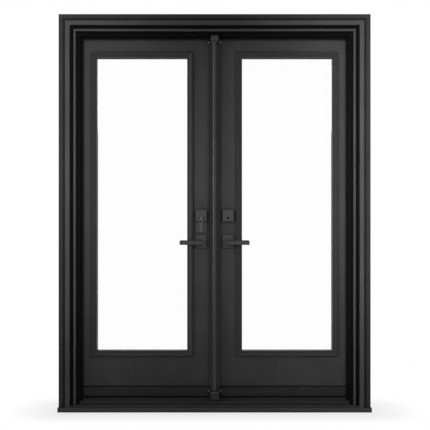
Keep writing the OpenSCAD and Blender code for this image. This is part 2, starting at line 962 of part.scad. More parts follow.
// The bar of a lever on its shank, which turns in the rose
module lever_body() {
    front = leaf_y - lever_reach;
    translate([-lock_x + lever_past - lever_l / 2, 0, lever_z]) {
        across(front + lever_bevel, front + lever_t) soft_rect(lever_l, lever_h, lever_corner);
        across(front, front + lever_bevel)
            soft_rect(lever_l - 2 * lever_bevel, lever_h - 2 * lever_bevel, lever_corner - lever_bevel / 2);
    }
    rod_y(-lock_x, lever_z, shank_r, front + lever_t - over, leaf_y);
}

// The square spindle through the leaf
module spindle(gap, y0, y1) {
    translate([-lock_x, (y0 + y1) / 2, lever_z])
        cube([spindle_w + 2 * gap, y1 - y0, spindle_w + 2 * gap], center = true);
}

module left_outer_lever() {
    color(charcoal) {
        lever_body();
        spindle(0, leaf_y - over, leaf_back + lever_reach / 2);
    }
}

module left_inner_lever() {
    color(charcoal) difference() {
        inner_side() lever_body();
        spindle(seat_gap, leaf_back - over, leaf_back + lever_reach / 2 + over);
    }
}

module right_outer_lever() {
    mirror([1, 0, 0]) left_outer_lever();
}

module right_inner_lever() {
    mirror([1, 0, 0]) left_inner_lever();
}

// A tubular case with its faceplate, its channel and a cross hole
module bolt_tube(z, h, hole_r) {
    difference() {
        union() {
            rod_x(mid_y, z, case_r, -works_end, -face_x + faceplate_t / 2);
            block(
                [-face_x, mid_y - faceplate_w / 2, z - faceplate_h / 2],
                [-meeting_edge, mid_y + faceplate_w / 2, z + faceplate_h / 2]
            );
        }
        block(
            [-lock_x, mid_y - bolt_d / 2 - slide_gap, z - h / 2 - slide_gap],
            [over - meeting_edge, mid_y + bolt_d / 2 + slide_gap, z + h / 2 + slide_gap]
        );
        rod_y(-lock_x, z, hole_r, mid_y - 2 * case_r, mid_y + 2 * case_r);
    }
}

module left_latch_case() {
    color(bare_steel) bolt_tube(lever_z, latch_h, hub_r);
}

module left_bolt_case() {
    color(bare_steel) bolt_tube(bolt_z, bolt_h, tail_hole_r);
}

module right_latch_case() {
    mirror([1, 0, 0]) left_latch_case();
}

module right_bolt_case() {
    mirror([1, 0, 0]) left_bolt_case();
}

// The spring latch, thrown, with its slope on the side that meets the post first
module left_latch() {
    tip = meeting_edge - latch_throw;
    color(bare_steel) translate([0, 0, lever_z - latch_h / 2]) linear_extrude(latch_h) polygon([
        [-latch_tail, mid_y - bolt_d / 2],
        [-meeting_edge, mid_y - bolt_d / 2],
        [-tip, mid_y + bolt_d / 3],
        [-tip, mid_y + bolt_d / 2],
        [-latch_tail, mid_y + bolt_d / 2]
    ]);
}

module right_latch() {
    mirror([1, 0, 0]) left_latch();
}

// The dead bolt, drawn back
module left_bolt() {
    color(bare_steel) block(
        [-bolt_tail, mid_y - bolt_d / 2, bolt_z - bolt_h / 2],
        [-meeting_edge, mid_y + bolt_d / 2, bolt_z + bolt_h / 2]
    );
}

module right_bolt() {
    mirror([1, 0, 0]) left_bolt();
}

// A square lock plate from its front to the plane it sits on
module lock_plate(back) {
    difference() {
        translate([-lock_x, 0, plate_z]) stepped_plate(plate_w, plate_h, plate_front, back);
        rod_y(-lock_x, bolt_z, plug_r + run_gap, plate_front - over, back + over);
    }
}

module left_backplate() {
    color(charcoal) difference() {
        translate([-lock_x, 0, backplate_z])
            stepped_plate(plate_w, backplate_h, leaf_y - backplate_t, leaf_y);
        rod_y(-lock_x, bolt_z, plug_r + run_gap, leaf_y - backplate_t - over, leaf_y + over);
    }
}

module left_cylinder_plate() {
    color(charcoal) lock_plate(leaf_y - backplate_t);
}

module right_cylinder_plate() {
    mirror([1, 0, 0]) color(charcoal) lock_plate(leaf_y);
}

// The plug with its keyway and the flat tail that drives the bolt
module left_key_plug() {
    color(charcoal) {
        difference() {
            rod_y(-lock_x, bolt_z, plug_r, plate_front - plug_proud, leaf_y);
            translate([-lock_x, plate_front + plate_t / 2 - plug_proud, bolt_z])
                cube([key_t + 2 * key_gap, plate_t, blade_h + 2 * key_gap], center = true);
        }
        translate([-lock_x, (leaf_y + leaf_back + turn_plate_t) / 2 - over, bolt_z])
            cube([tail_w, leaf_t + turn_plate_t + 2 * over, tail_h], center = true);
    }
}

module right_key_plug() {
    mirror([1, 0, 0]) left_key_plug();
}

// The plate under a thumb turn, its front towards the room
module left_turn_plate() {
    color(charcoal) difference() {
        translate([-lock_x, leaf_back, bolt_z]) mirror([0, 1, 0])
            stepped_plate(plate_w, plate_h, -turn_plate_t, 0);
        rod_y(-lock_x, bolt_z, turn_r + run_gap, leaf_back - over, leaf_back + turn_plate_t + over);
    }
}

module right_turn_plate() {
    mirror([1, 0, 0]) left_turn_plate();
}

module left_thumb_turn() {
    color(charcoal) difference() {
        union() {
            rod_y(-lock_x, bolt_z, turn_r, leaf_back, leaf_back + turn_plate_t + over);
            translate([-lock_x, 0, bolt_z])
                across(leaf_back + turn_plate_t + seal_gap, turn_end) soft_rect(turn_w, turn_l, turn_corner);
        }
        translate([-lock_x, leaf_back, bolt_z])
            cube([tail_w + 2 * key_gap, 2 * turn_plate_t + over, tail_h + 2 * key_gap], center = true);
    }
}

module right_thumb_turn() {
    mirror([1, 0, 0]) left_thumb_turn();
}

// Keys, edge on to the front

// A key's bow with its eye, on the plane of the lock's axis
module key_bow(y, z, eye) {
    difference() {
        rod_x(y, z, bow_r, -lock_x - key_t / 2, -lock_x + key_t / 2);
        rod_x(y, eye, eye_r, -lock_x - key_t, -lock_x + key_t);
    }
}

module key() {
    color(bare_steel) {
        key_bow(bow_y, bolt_z, eye_z);
        block(
            [-lock_x - key_t / 2, bow_y + bow_r - over, bolt_z - blade_h / 2],
            [-lock_x + key_t / 2, plate_front + plate_t - 2 * plug_proud - over, bolt_z + blade_h / 2]
        );
    }
}

module key_ring() {
    color(bare_steel) translate([-lock_x, bow_y, ring_z]) rotate([90, 0, 0])
        rotate_extrude() translate([ring_r, 0]) circle(wire_r);
}

module spare_key() {
    color(bare_steel) {
        key_bow(bow_y, spare_bow_z, spare_eye_z);
        block(
            [-lock_x - key_t / 2, bow_y - blade_h / 2, spare_bow_z - bow_r - blade_l],
            [-lock_x + key_t / 2, bow_y + blade_h / 2, spare_bow_z - bow_r + over]
        );
    }
}

head_casing();
left_casing();
right_casing();
head_jamb();
left_jamb();
right_jamb();
sill();
sill_cap();
frame_seals();
centre_post();
post_head_bracket();
post_sill_bracket();
post_screws();
strike_plates();
hinge_frame_leaves();
hinge_pins();
left_outer_skin();
left_inner_skin();
left_core();
left_outer_lite();
left_inner_lite();
left_glass();
left_spacer();
left_drip_rail();
left_hinge_leaves();
left_roses();
left_backplate();
left_cylinder_plate();
left_turn_plate();
left_latch_case();
left_bolt_case();
left_outer_lever();
left_inner_lever();
left_latch();
left_key_plug();
left_thumb_turn();
left_bolt();
key();
key_ring();
spare_key();
right_outer_skin();
right_inner_skin();
right_core();
right_outer_lite();
right_inner_lite();
right_glass();
right_spacer();
right_drip_rail();
right_hinge_leaves();
right_roses();
right_cylinder_plate();
right_turn_plate();
right_latch_case();
right_bolt_case();
right_outer_lever();
right_inner_lever();
right_latch();
right_key_plug();
right_thumb_turn();
right_bolt();
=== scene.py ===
"""Dress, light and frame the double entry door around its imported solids."""

import json
import logging
import math
from dataclasses import dataclass, replace
from enum import Enum
from typing import Dict, List, NamedTuple, Optional, Sequence, Tuple, Union

import bmesh
import bpy
import numpy as np
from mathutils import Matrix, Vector


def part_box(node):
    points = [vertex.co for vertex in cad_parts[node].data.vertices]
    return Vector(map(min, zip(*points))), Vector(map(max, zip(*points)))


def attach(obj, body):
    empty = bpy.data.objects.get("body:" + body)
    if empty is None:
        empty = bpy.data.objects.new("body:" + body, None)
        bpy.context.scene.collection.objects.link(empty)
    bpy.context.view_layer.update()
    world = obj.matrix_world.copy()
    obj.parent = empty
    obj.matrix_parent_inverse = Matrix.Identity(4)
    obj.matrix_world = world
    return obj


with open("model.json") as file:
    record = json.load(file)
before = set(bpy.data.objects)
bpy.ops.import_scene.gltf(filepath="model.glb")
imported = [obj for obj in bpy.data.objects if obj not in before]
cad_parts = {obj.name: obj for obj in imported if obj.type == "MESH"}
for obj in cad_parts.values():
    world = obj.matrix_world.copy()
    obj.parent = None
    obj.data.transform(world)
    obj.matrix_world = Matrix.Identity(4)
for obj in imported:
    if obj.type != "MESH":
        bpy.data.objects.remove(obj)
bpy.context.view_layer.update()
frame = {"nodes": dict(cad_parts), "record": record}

LOG = logging.getLogger("entry_door")

Span = Tuple[float, float]
Point = Tuple[float, float, float]
Section = Tuple[float, float, float, float]
Colour = Tuple[float, float, float]
Value = Union["Shade", float, Sequence[float]]

WHITE: Colour = (1.0, 1.0, 1.0)
DUST: Colour = (0.16, 0.155, 0.145)


class Side(Enum):
    """The two leaves, as seen from outside."""

    LEFT = "left"
    RIGHT = "right"

    @property
    def sign(self) -> float:
        """The sign of X on this side."""
        return -1.0 if self is Side.LEFT else 1.0

    @property
    def to_hinges(self) -> Point:
        """The direction from the post to the hinges."""
        return self.sign, 0.0, 0.0

    @property
    def to_post(self) -> Point:
        """The direction from the hinges to the post."""
        return -self.sign, 0.0, 0.0

    def node(self, piece: str) -> str:
        """The name of a piece on this side."""
        return f"{self.value}_{piece}"


class Face(Enum):
    """The two faces of a leaf, by the sign of Y."""

    OUTSIDE = -1.0
    INSIDE = 1.0

    @property
    def axis(self) -> Point:
        """The direction that the face looks in."""
        return 0.0, self.value, 0.0


class Wrap(Enum):
    """Whether the rows and the columns of a grid close on themselves."""

    ROWS = (True, False)
    COLUMNS = (False, True)
    BOTH = (True, True)


class Patches(NamedTuple):
    """Noise cut into soft patches: cells to the metre, detail, and where a patch begins and is full."""

    cells: float
    detail: float
    begins: float
    full: float


class Shade:
    """A shader socket that takes part in Python arithmetic."""

    def __init__(self, graph: "ShaderGraph", socket: Optional[bpy.types.NodeSocket]) -> None:
        """Keep the socket and the graph that it belongs to."""
        self.graph = graph
        self.socket = socket

    def out(self, key: Union[int, str]) -> "Shade":
        """Another output of the same node."""
        return Shade(self.graph, self.socket.node.outputs[key])

    def __add__(self, other: Value) -> "Shade":
        """This value plus another."""
        return self.graph.math("ADD", self, other)

    def __radd__(self, other: Value) -> "Shade":
        """Another value plus this one."""
        return self.graph.math("ADD", other, self)

    def __sub__(self, other: Value) -> "Shade":
        """This value less another."""
        return self.graph.math("SUBTRACT", self, other)

    def __rsub__(self, other: Value) -> "Shade":
        """Another value less this one."""
        return self.graph.math("SUBTRACT", other, self)

    def __mul__(self, other: Value) -> "Shade":
        """This value times another."""
        return self.graph.math("MULTIPLY", self, other)

    def __rmul__(self, other: Value) -> "Shade":
        """Another value times this one."""
        return self.graph.math("MULTIPLY", other, self)

    def __abs__(self) -> "Shade":
        """This value without its sign."""
        return self.graph.math("ABSOLUTE", self)

    def above(self, floor: float) -> "Shade":
        """This mask, rising from a floor to 1 instead of from 0."""
        return floor + (1.0 - floor) * self

    def swing(self, amount: float) -> "Shade":
        """This noise as a swing about 0, as wide as the amount."""
        return amount * (self - 0.5)


class ShaderGraph:
    """Builds the nodes of one material or of the world.

    Attributes:
        edge_turn: How far the rounded normal differs where an edge begins and is full.
        openness: How open a face is where a crease is full and ends.
        upward: The normal's upward part where a ledge begins and is full.
    """

    edge_turn: Span = (0.01, 0.2)
    openness: Span = (0.4, 0.98)
    upward: Span = (0.4, 0.95)

    def __init__(self, tree: bpy.types.NodeTree) -> None:
        """Start from a node tree, emptied."""
        self.tree = tree
        tree.nodes.clear()

    def node(
        self,
        kind: str,
        settings: Optional[Dict[str, object]] = None,
        inputs: Optional[Dict[Union[int, str], Value]] = None,
        out: Union[int, str] = 0,
    ) -> Shade:
        """Add a node, set its settings first and then its sockets.

        Args:
            kind: The node's type.
            settings: Settings by name, such as a Math node's operation.
            inputs: Values or links by socket.
            out: The output to hand back.

        Returns:
            The chosen output.
        """
        made = self.tree.nodes.new(kind)
        for name, value in (settings or {}).items():
            setattr(made, name, value)
        for key, value in (inputs or {}).items():
            if isinstance(value, Shade):
                self.tree.links.new(value.socket, made.inputs[key])
            else:
                made.inputs[key].default_value = value
        return Shade(self, made.outputs[out] if made.outputs else None)

    def math(self, operation: str, first: Value, second: Value = 0.0) -> Shade:
        """A Math node on one or two values."""
        return self.node("ShaderNodeMath", {"operation": operation}, {0: first, 1: second})

    def place(self) -> Shade:
        """The Object coordinates, in metres."""
        return self.node("ShaderNodeTexCoord", out="Object")

    def normal(self) -> Shade:
        """The direction that the surface looks in."""
        return self.node("ShaderNodeNewGeometry", out="Normal")

    def split(self, vector: Shade) -> Tuple[Shade, Shade, Shade]:
        """The X, Y and Z of a vector."""
        parts = self.node("ShaderNodeSeparateXYZ", None, {0: vector})
        return parts, parts.out(1), parts.out(2)

    def noise(self, vector: Shade, cells: float, detail: float = 2.0) -> Shade:
        """Noise between about 0 and 1 with this many cells to the metre."""
        return self.node("ShaderNodeTexNoise", None, {"Vector": vector, "Scale": cells, "Detail": detail})

    def drawn(self, vector: Shade, cells: Point, detail: float = 3.0) -> Shade:
        """Noise with its own count of cells to the metre on each axis."""
        inputs = {"Vector": vector, "Scale": cells}
        return self.noise(self.node("ShaderNodeMapping", {"vector_type": "POINT"}, inputs), 1.0, detail)

    def ramp(self, value: Shade, low: float, high: float) -> Shade:
        """A smooth step from 0 at low to 1 at high."""
        return self.node(
            "ShaderNodeMapRange",
            {"interpolation_type": "SMOOTHSTEP"},
            {"Value": value, "From Min": low, "From Max": high},
        )

    def patches(self, vector: Shade, patches: Patches) -> Shade:
        """A mask that is 1 inside patches of noise and 0 between them."""
        return self.ramp(self.noise(vector, patches.cells, patches.detail), patches.begins, patches.full)

    def mix(self, factor: Shade, first: Value, second: Value) -> Shade:
        """A colour between two colours."""
        return self.node("ShaderNodeMix", {"data_type": "RGBA"}, {0: factor, 6: first, 7: second}, out=2)

    def varied(self, factor: Shade, colour: Colour, gains: Span) -> Shade:
        """A colour between two gains of one colour."""
        return self.mix(factor, rgba(colour, gains[0]), rgba(colour, gains[1]))

    def edges(self, reach: float) -> Shade:
        """A mask that is 1 on edges and corners and 0 on flats.

        The shading normal, rounded over the reach, is compared with the true one.

        Args:
            reach: How far from an edge the mask begins, in metres.

        Returns:
            The mask.
        """
        rounded = self.node("ShaderNodeBevel", {"samples": 4}, {"Radius": reach})
        both = {0: rounded, 1: self.normal()}
        same = self.node("ShaderNodeVectorMath", {"operation": "DOT_PRODUCT"}, both, out="Value")
        return self.ramp(1.0 - same, *self.edge_turn)

    def crease_shade_mask(self, reach: float) -> Shade:
        """A mask for painted shade, from ambient occlusion: 1 deep in grooves and inner corners, 0 on faces
        open for the reach, in metres.
        """
        open_sky = self.node("ShaderNodeAmbientOcclusion", {"samples": 8}, {"Distance": reach}, out="AO")
        return 1.0 - self.ramp(open_sky, *self.openness)

    def facing_up(self) -> Shade:
        """A mask that is 1 where a surface looks up."""
        return self.ramp(self.split(self.normal())[2], *self.upward)

    def bump(self, height: Shade, strength: float, distance: float) -> Shade:
        """A normal from a height."""
        inputs = {"Strength": strength, "Distance": distance, "Height": height}
        return self.node("ShaderNodeBump", None, inputs)

    def principled(self, inputs: Dict[Union[int, str], Value]) -> Shade:
        """The main surface shader."""
        return self.node("ShaderNodeBsdfPrincipled", None, inputs)

    def blend(self, factor: Shade, first: Shade, second: Shade) -> Shade:
        """A surface between two surfaces."""
        return self.node("ShaderNodeMixShader", None, {0: factor, 1: first, 2: second})

    def show(self, surface: Shade, kind: str = "ShaderNodeOutputMaterial") -> None:
        """Send a surface to the output."""
        self.node(kind, None, {"Surface": surface})


def toned(colour: Colour, gain: float) -> Colour:
    """The colour times a gain."""
    return colour[0] * gain, colour[1] * gain, colour[2] * gain


def rgba(colour: Colour, gain: float = 1.0) -> Tuple[float, float, float, float]:
    """The colour times a gain, with full alpha."""
    return (*toned(colour, gain), 1.0)


@dataclass(frozen=True)
class Finish:
    """What every finish of the door shares."""

    colour: Colour

    def shader(self, graph: ShaderGraph) -> Shade:
        """The surface of the finish, added to a graph."""
        raise NotImplementedError

    def material(self, name: str) -> bpy.types.Material:
        """A material with this finish.

        Args:
            name: The material's name.

        Returns:
            The new material.
        """
        made = bpy.data.materials.new(name)
        made.use_nodes = True
        made.diffuse_color = rgba(self.colour)
        graph = ShaderGraph(made.node_tree)
        graph.show(self.shader(graph))
        return made


@dataclass(frozen=True)
class PaintFinish(Finish):
    """Sprayed satin paint with a fine peel, clouding, scuffed paler edges that can also stand for a painted
    highlight, painted shade in grooves and inner corners, and dust on ledges.
    """

    roughness: float = 0.5
    specular: float = 0.12
    cloud: Patches = Patches(4.5, 4.0, 0.3, 0.7)
    cloud_gains: Span = (0.9, 1.1)
    cloud_rough: float = 0.14
    fleck_cells: float = 260.0
    fleck_rough: float = 0.1
    streaks: float = 0.0
    streak_cells: Point = (90.0, 90.0, 1.6)
    streak_span: Span = (0.45, 0.75)
    streak_gain: float = 1.3
    wear_and_edge_shading: float = 0.35
    wear_and_shading_reach: float = 0.0016
    wear_floor: float = 0.35
    wear_patch: Patches = Patches(34.0, 5.0, 0.42, 0.66)
    worn_and_edge_shading: Colour = (0.16, 0.16, 0.165)
    crease_shade: float = 0.75
    crease_shade_gain: float = 0.12
    crease_reach: float = 0.014
    dust: float = 0.25
    dust_patch: Patches = Patches(21.0, 5.0, 0.3, 0.7)
    dust_rough: float = 0.2
    peel_cells: float = 700.0
    peel_bump: Span = (0.12, 0.0003)

    def shader(self, graph: ShaderGraph) -> Shade:
        """Paint: clouded colour, paler edges (on some pieces a painted highlight), painted shade in grooves
        and corners, dust on ledges and a fine peel.

        Args:
            graph: The graph to fill.

        Returns:
            The surface.
        """
        place = graph.place()
        cloud = graph.noise(place, self.cloud.cells, self.cloud.detail)
        fleck = graph.noise(place, self.fleck_cells)
        clouded = graph.ramp(cloud, self.cloud.begins, self.cloud.full)
        colour = graph.varied(clouded, self.colour, self.cloud_gains)
        if self.streaks:
            pulled = graph.ramp(graph.drawn(place, self.streak_cells), *self.streak_span)
            colour = graph.mix(pulled * self.streaks, colour, rgba(self.colour, self.streak_gain))
        # Paler edges from rubbing; on the drip rail they are raised to a painted highlight along its top lip.
        patch = graph.patches(place, self.wear_patch).above(self.wear_floor)
        marked = graph.edges(self.wear_and_shading_reach) * patch * self.wear_and_edge_shading
        colour = graph.mix(marked, colour, rgba(self.worn_and_edge_shading))
        # Painted shade: darkened in grooves, inner corners and round raised parts, where shade falls.
        crease_shading = graph.crease_shade_mask(self.crease_reach) * self.crease_shade
        colour = graph.mix(crease_shading, colour, rgba(self.colour, self.crease_shade_gain))
        settled = graph.facing_up() * graph.patches(place, self.dust_patch) * self.dust
        colour = graph.mix(settled, colour, rgba(DUST))
        roughness = self.roughness + cloud.swing(self.cloud_rough) + fleck.swing(self.fleck_rough)
        peel = graph.noise(place, self.peel_cells, 1.0)
        return graph.principled({
            "Base Color": colour,
            "Roughness": roughness + self.dust_rough * settled,
            "Specular IOR Level": self.specular,
            "Normal": graph.bump(peel, *self.peel_bump),
        })


@dataclass(frozen=True)
class FramePaint(PaintFinish):
    """The frame's paint: darker on the rim, painted shade as flat black in the recesses with a painted
    highlight on their edges, and flat black along each mitre.

    The spans sunk, rear and wall are depths; rim, face and casing are measured inward from the outer edge.
    """

    recess_shade: Colour = (0.006, 0.006, 0.0065)
    recess_edge_highlight: Colour = (0.035, 0.035, 0.036)
    highlight_reach: float = 0.003
    recess_roughness: float = 0.75
    recess_specular: float = 0.06
    lint: Patches = Patches(120.0, 4.0, 0.35, 0.75)
    lint_gains: Span = (0.8, 1.6)
    lint_rough: float = 0.2
    outer_x: float = 0.877
    outer_z: float = 2.236
    sunk: Span = (-0.0175, -0.0125)
    rear: Span = (0.062, 0.066)
    wall: Span = (0.0005, 0.0015)
    wall_turn: Span = (0.4, 0.6)
    rim: Span = (0.0248, 0.0256)
    rim_tone: float = 0.49
    face: Span = (0.045, 0.055)
    face_floor: float = 0.6
    casing: Span = (0.0835, 0.0845)
    mitre: Span = (0.00036, 0.0009)
    mitre_tone: float = 0.75

    def shader(self, graph: ShaderGraph) -> Shade:
        """Frame paint: the sprayed paint, painted shade as flat black in the front's recesses with painted
        highlights on their edges, and flat black in the mitre joints.

        Args:
            graph: The graph to fill.

        Returns:
            The surface.
        """
        rim_paint = replace(self, colour=toned(self.colour, self.rim_tone))
        place = graph.place()
        across, depth, height = graph.split(place)
        from_side = self.outer_x - abs(across)
        from_top = self.outer_z - height
        inward = graph.math("MINIMUM", from_side, from_top)
        inside = graph.ramp(inward, *self.rim)
        paint = graph.blend(inside, PaintFinish.shader(rim_paint, graph), super().shader(graph))
        joint = 1.0 - graph.ramp(abs(from_side - from_top), *self.mitre)
        backward = graph.ramp(graph.split(graph.normal())[1], *self.wall_turn)
        outside = 1.0 - graph.ramp(inward, *self.casing)
        wall_side = graph.math("MAXIMUM", backward, graph.ramp(depth, *self.wall) * outside)
        # Painted shade: the sunk faces inside the casing and jamb are turned flat black, where shade falls
        # deep in the front.
        hollow_shade = graph.ramp(depth, *self.sunk) * (1.0 - graph.ramp(depth, *self.rear)) * inside
        hollow_shade = hollow_shade * graph.ramp(inward, *self.face).above(self.face_floor) * (1.0 - wall_side)
        # The painted shade and the mitre joints share one flat black coat.
        dark = graph.math("MAXIMUM", hollow_shade, self.mitre_tone * joint)
        lint = graph.noise(place, self.lint.cells, self.lint.detail)
        linty = graph.ramp(lint, self.lint.begins, self.lint.full)
        flat = graph.varied(linty, self.recess_shade, self.lint_gains)
        black = graph.principled({
            # Painted highlight: edges inside the black recesses are lighter, where light catches them.
            "Base Color": graph.mix(graph.edges(self.highlight_reach), flat, rgba(self.recess_edge_highlight)),
            "Roughness": self.recess_roughness + lint.swing(self.lint_rough),
            "Specular IOR Level": self.recess_specular,
        })
        return graph.blend(dark, paint, black)


@dataclass(frozen=True)
class PostPaint(PaintFinish):
    """The post's paint, duller on the flange behind the round nose and darkened there as painted shade."""

    nose_back: Span = (0.046, 0.049)
    flange_shade_tone: float = 0.35
    flange_roughness: float = 0.45
    flange_specular: float = 0.34

    def shader(self, graph: ShaderGraph) -> Shade:
        """Post paint: the sprayed paint on the nose and, on the flange, a duller coat darkened as painted
        shade.

        Args:
            graph: The graph to fill.

        Returns:
            The surface.
        """
        # Painted shade: the flange is darkened where the nose shades it.
        tone = toned(self.colour, self.flange_shade_tone)
        flange = replace(self, colour=tone, roughness=self.flange_roughness, specular=self.flange_specular)
        behind = graph.ramp(graph.split(graph.place())[1], *self.nose_back)
        return graph.blend(behind, super().shader(graph), PaintFinish.shader(flange, graph))


@dataclass(frozen=True)
class CollarPaint(PostPaint):
    """Post paint with a painted highlight: a pale band along the shoulder of the foot block."""

    top: float = 0.0
    shoulder: Span = (0.0150, 0.0098)
    feather: float = 0.0008
    pale: Colour = (0.14, 0.14, 0.144)

    def shader(self, graph: ShaderGraph) -> Shade:
        """Collar paint: the post's paint with a pale band of painted highlight along the shoulder, below the
        collar.

        Args:
            graph: The graph to fill.

        Returns:
            The surface.
        """
        # Painted highlight: the pale band stands for light caught along the shoulder's top edge.
        marked = PaintFinish.shader(replace(self, colour=self.pale), graph)
        height = graph.split(graph.place())[2]
        low, high = (self.top - drop for drop in self.shoulder)
        over_low = graph.ramp(height, low, low + self.feather)
        under_high = 1.0 - graph.ramp(height, high - self.feather, high)
        return graph.blend(over_low * under_high, super().shader(graph), marked)


@dataclass(frozen=True)
class MouldingPaint(PaintFinish):
    """The glazing mouldings' paint, glossier on the upright walls that face across the opening."""

    wall_turn: Span = (0.75, 0.9)
    wall_specular: float = 1.0
    wall_roughness: float = 0.1

    def shader(self, graph: ShaderGraph) -> Shade:
        """Moulding paint: satin all over, and a glossier coat on the upright walls.

        Args:
            graph: The graph to fill.

        Returns:
            The surface.
        """
        walls = replace(self, specular=self.wall_specular, roughness=self.wall_roughness)
        upright = graph.ramp(abs(graph.split(graph.normal())[0]), *self.wall_turn)
        return graph.blend(upright, super().shader(graph), PaintFinish.shader(walls, graph))


@dataclass(frozen=True)
class LeafPaint(PaintFinish):
    """The leaf's paint, with painted shade as flat black in the rolled groove above the drip rail."""

    groove_z: float = 0.0
    groove_half: Span = (0.0032, 0.0037)
    groove_front: Span = (0.0684, 0.0690)
    groove_back: Span = (0.078, 0.079)
    groove_shade_tone: Colour = (0.004, 0.004, 0.0042)
    groove_roughness: float = 0.8
    groove_specular: float = 0.04

    def shader(self, graph: ShaderGraph) -> Shade:
        """Leaf paint: the sprayed paint, and flat black painted shade inside the groove.

        Args:
            graph: The graph to fill.

        Returns:
            The surface.
        """
        _, depth, height = graph.split(graph.place())
        # Painted shade: the groove is turned flat black where shade falls in it.
        level = 1.0 - graph.ramp(abs(height - self.groove_z), *self.groove_half)
        sunk = graph.ramp(depth, *self.groove_front) * (1.0 - graph.ramp(depth, *self.groove_back))
        black = graph.principled({
            "Base Color": rgba(self.groove_shade_tone),
            "Roughness": self.groove_roughness,
            "Specular IOR Level": self.groove_specular,
        })
        return graph.blend(level * sunk, super().shader(graph), black)


@dataclass(frozen=True)
class MetalFinish(Finish):
    """Plated or brushed metal with drawn lines, handling marks, scuffed edges that on some pieces stand for
    painted shade, and, if set, painted shade in grooves and corners.
    """

    roughness: float = 0.36
    metallic: float = 1.0
    specular: float = 0.5
    brush: Point = (20.0, 20.0, 900.0)
    line_gains: Span = (0.75, 1.25)
    line_rough: float = 0.1
    line_bump: Span = (0.12, 0.0002)
    smear: Patches = Patches(46.0, 5.0, 0.35, 0.72)
    smear_rough: float = 0.18
    wear_and_edge_shading: float = 0.45
    wear_and_shading_reach: float = 0.0009
    wear_floor: float = 0.3
    worn_and_edge_shading: Colour = (0.45, 0.44, 0.42)
    crease_reach: float = 0.0
    crease_shade_tone: float = 0.15

    def shader(self, graph: ShaderGraph) -> Shade:
        """Metal: fine drawn lines in colour and bump, smears in roughness, scuffed edges (on the levers
        painted shade) and, if set, painted shade in grooves and corners.

        Args:
            graph: The graph to fill.

        Returns:
            The surface.
        """
        place = graph.place()
        drawn = graph.drawn(place, self.brush)
        smear = graph.patches(place, self.smear)
        colour = graph.varied(drawn, self.colour, self.line_gains)
        # Paler edges from rubbing; on the levers the edge colour is dark and stands for painted shade on
        # their rounded edges.
        marked = graph.edges(self.wear_and_shading_reach) * smear.above(self.wear_floor) * self.wear_and_edge_shading
        colour = graph.mix(marked, colour, rgba(self.worn_and_edge_shading))
        # Painted shade: darkened in grooves and round things that stand near, such as round a lever on its
        # rose.
        if self.crease_reach:
            colour = graph.mix(graph.crease_shade_mask(self.crease_reach), colour, rgba(self.colour, self.crease_shade_tone))
        return graph.principled({
            "Base Color": colour,
            "Metallic": self.metallic,
            "Specular IOR Level": self.specular,
            "Roughness": self.roughness + smear.swing(self.smear_rough) + drawn.swing(self.line_rough),
            "Normal": graph.bump(drawn, *self.line_bump),
        })


@dataclass(frozen=True)
class SillFinish(Finish):
    """Dark coated sill metal, scuffed in front of each leaf."""

    lane: float = 0.39
    lane_span: Span = (0.08, 0.3)
    scuff: Colour = (0.12, 0.118, 0.112)
    scratch_wear: float = 0.15
    walked_wear: float = 0.45
    edge_wear: float = 0.3
    edge_reach: float = 0.0014
    crease_shade: float = 0.35
    crease_reach: float = 0.014
    grit: Patches = Patches(30.0, 6.0, 0.4, 0.75)
    grit_dust: float = 0.22

    def shader(self, graph: ShaderGraph) -> Shade:
        """Sill metal: lengthwise drawn lines, scuffs where people step, painted shade in its grooves and dust
        on the treads.

        Args:
            graph: The graph to fill.

        Returns:
            The surface.
        """
        place = graph.place()
        across = graph.split(place)[0]
        drawn = graph.drawn(place, (3.0, 700.0, 700.0))
        scratch = graph.ramp(graph.drawn(place, (60.0, 160.0, 160.0), 5.0), 0.55, 0.72)
        walked = 1.0 - graph.ramp(abs(abs(across) - self.lane), *self.lane_span)
        up = graph.facing_up()
        colour = graph.varied(drawn, self.colour, (0.8, 1.2))
        scuffed = scratch * (self.scratch_wear + self.walked_wear * walked) * up
        colour = graph.mix(scuffed, colour, rgba(self.scuff))
        colour = graph.mix(graph.edges(self.edge_reach) * self.edge_wear, colour, rgba(self.scuff))
        # Painted shade: darkened in the grooves between and under the treads.
        colour = graph.mix(graph.crease_shade_mask(self.crease_reach) * self.crease_shade, colour, rgba(self.colour, 0.1))
        grit = graph.patches(place, self.grit) * up
        colour = graph.mix(grit * self.grit_dust, colour, rgba(DUST))
        return graph.principled({
            "Base Color": colour,
            "Metallic": 0.25,
            "Roughness": 0.48 + drawn.swing(0.12) + 0.15 * grit,
            "Specular IOR Level": 0.2,
            "Normal": graph.bump(drawn, 0.15, 0.0002),
        })


@dataclass(frozen=True)
class RubberFinish(Finish):
    """Matt rubber or plastic with a fine moulded grain and pale bloom."""

    roughness: float = 0.7
    specular: float = 0.12
    grain: float = 900.0
    bloom: float = 0.12
    bloom_patch: Patches = Patches(18.0, 5.0, 0.45, 0.75)

    def shader(self, graph: ShaderGraph) -> Shade:
        """Rubber: a moulded grain in bump and roughness and a patchy pale bloom.

        Args:
            graph: The graph to fill.

        Returns:
            The surface.
        """
        place = graph.place()
        grain = graph.noise(place, self.grain)
        patch = graph.patches(place, self.bloom_patch)
        colour = graph.varied(grain, self.colour, (0.85, 1.2))
        colour = graph.mix(patch * self.bloom, colour, rgba(DUST))
        return graph.principled({
            "Base Color": colour,
            "Roughness": self.roughness + grain.swing(0.15) + 0.1 * patch,
            "Specular IOR Level": self.specular,
            "Normal": graph.bump(grain, 0.2, 0.0003),
        })


